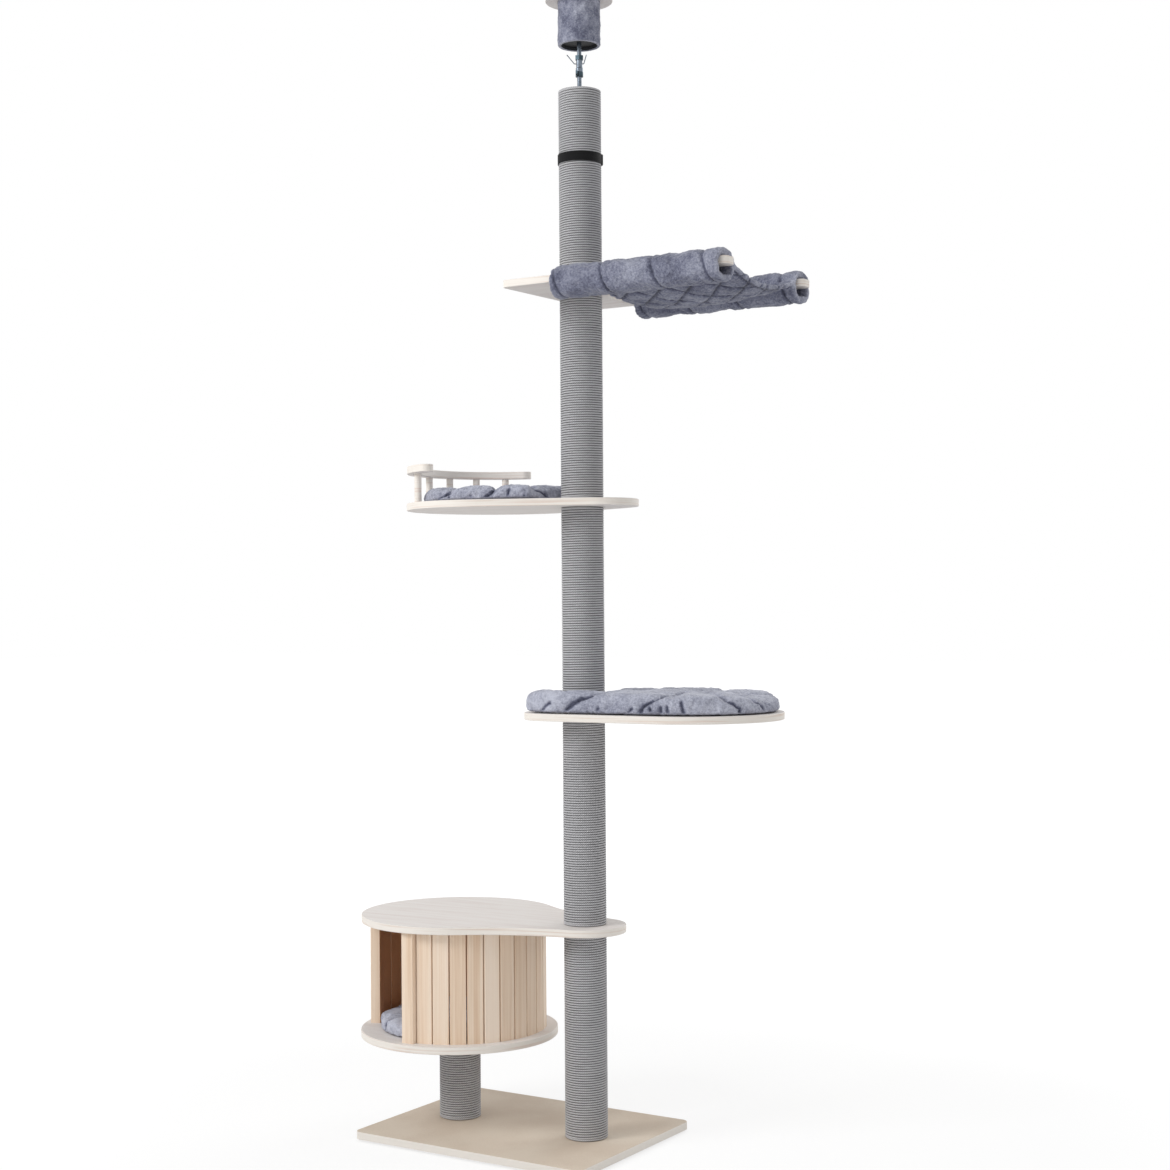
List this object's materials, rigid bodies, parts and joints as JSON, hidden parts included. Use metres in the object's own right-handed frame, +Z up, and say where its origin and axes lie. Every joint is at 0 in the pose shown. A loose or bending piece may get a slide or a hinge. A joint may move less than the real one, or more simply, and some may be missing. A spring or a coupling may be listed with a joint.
{
  "type": "cat tree",
  "caption": "Floor-to-ceiling cat tree: rope-wound post with slatted house, cushioned shelves, slung hammock and a ceiling jack.",
  "frame": {"origin": "underside of the base board, on the axis of the tall post", "axes": "+X along the base's long side, away from the house; +Y to the back; +Z up along the post"},
  "size_m": [0.9849, 0.5156, 2.419],
  "materials": {
    "white_board": "whitewashed plywood, matte",
    "base_board": "pale beige board, matte",
    "pine": "natural pine, fine sanded",
    "plug_wood": "turned softwood, raw",
    "rope": "grey wound rope",
    "plush": "short blue-grey plush",
    "webbing": "black webbing",
    "cardboard": "brown core tube",
    "zinc_steel": "bright zinc",
    "dark_steel": "darkened steel",
    "dark_plastic": "matte moulded",
    "foot_rubber": "brown, matte",
    "pad_rubber": "pale grip pad"
  },
  "bodies": {
    "post_frame": {"base_board": "base_board", "base_feet": "foot_rubber", "base_bolts": "zinc_steel", "post_tube_1": "cardboard", "rope_wrap_1": "rope", "post_tube_2": "cardboard", "rope_wrap_2": "rope", "post_tube_3": "cardboard", "rope_wrap_3": "rope", "post_tube_4": "cardboard", "rope_wrap_4": "rope", "post_tube_5": "cardboard", "rope_wrap_5": "rope", "short_post_tube": "cardboard", "short_rope_wrap": "rope", "end_plugs": "plug_wood", "head_plug": "plug_wood", "thread_inserts": "zinc_steel", "guide_bush": "zinc_steel", "joining_studs": "zinc_steel", "house_bolt": "zinc_steel", "house_floor": "white_board", "house_top": "white_board", "house_slats": "pine", "entrance_batten_right": "pine", "entrance_batten_left": "pine", "house_cushion": "plush", "post_strap": "webbing"},
    "lower_shelf": {"lower_shelf_board": "white_board"},
    "lower_pad": {"lower_cushion": "plush"},
    "upper_shelf": {"upper_shelf_board": "white_board", "guard_rail": "white_board", "rail_dowels": "white_board"},
    "upper_pad": {"upper_cushion": "plush"},
    "hammock_fork": {"hammock_board": "white_board"},
    "hammock_cloth": {"hammock": "plush"},
    "ceiling_jack": {"threaded_rod": "zinc_steel", "rod_spacer": "zinc_steel", "split_pin": "zinc_steel", "top_nut": "dark_steel", "column_tube": "cardboard", "column_plush": "plush", "column_cap": "dark_plastic", "inner_nut": "zinc_steel", "top_plug": "plug_wood", "ceiling_plate": "white_board", "plate_screws": "zinc_steel", "plate_pad": "pad_rubber"},
    "round_nut_body": {"round_nut": "zinc_steel"},
    "wing_nut_body": {"wing_nut": "dark_steel"}
  },
  "joints": [
    {"name": "lower_shelf_swivel", "type": "hinge", "parent": "post_frame", "child": "lower_shelf", "pos_m": [0, 0, 0.896], "axis": [0, 0, 1], "continuous": true},
    {"name": "lower_cushion_lift", "type": "slide", "parent": "lower_shelf", "child": "lower_pad", "axis": [0, 0, 1], "range_m": [0, 0.3]},
    {"name": "upper_shelf_swivel", "type": "hinge", "parent": "post_frame", "child": "upper_shelf", "pos_m": [0, 0, 1.34], "axis": [0, 0, 1], "continuous": true},
    {"name": "upper_cushion_lift", "type": "slide", "parent": "upper_shelf", "child": "upper_pad", "axis": [0, 0, 1], "range_m": [0, 0.3]},
    {"name": "hammock_swivel", "type": "hinge", "parent": "post_frame", "child": "hammock_fork", "pos_m": [0, 0, 1.784], "axis": [0, 0, 1], "continuous": true},
    {"name": "hammock_pull", "type": "slide", "parent": "hammock_fork", "child": "hammock_cloth", "axis": [1, 0, 0], "range_m": [0, 0.41]},
    {"name": "jack_lift", "type": "slide", "parent": "post_frame", "child": "ceiling_jack", "axis": [0, 0, 1], "range_m": [-0.02, 0.1]},
    {"name": "round_nut_travel", "type": "slide", "parent": "ceiling_jack", "child": "round_nut_body", "axis": [0, 0, 1], "range_m": [-0.007, 0]},
    {"name": "wing_nut_turn", "type": "hinge", "parent": "round_nut_body", "child": "wing_nut_body", "pos_m": [0, 0, 2.242], "axis": [0, 0, 1], "continuous": true}
  ]
}
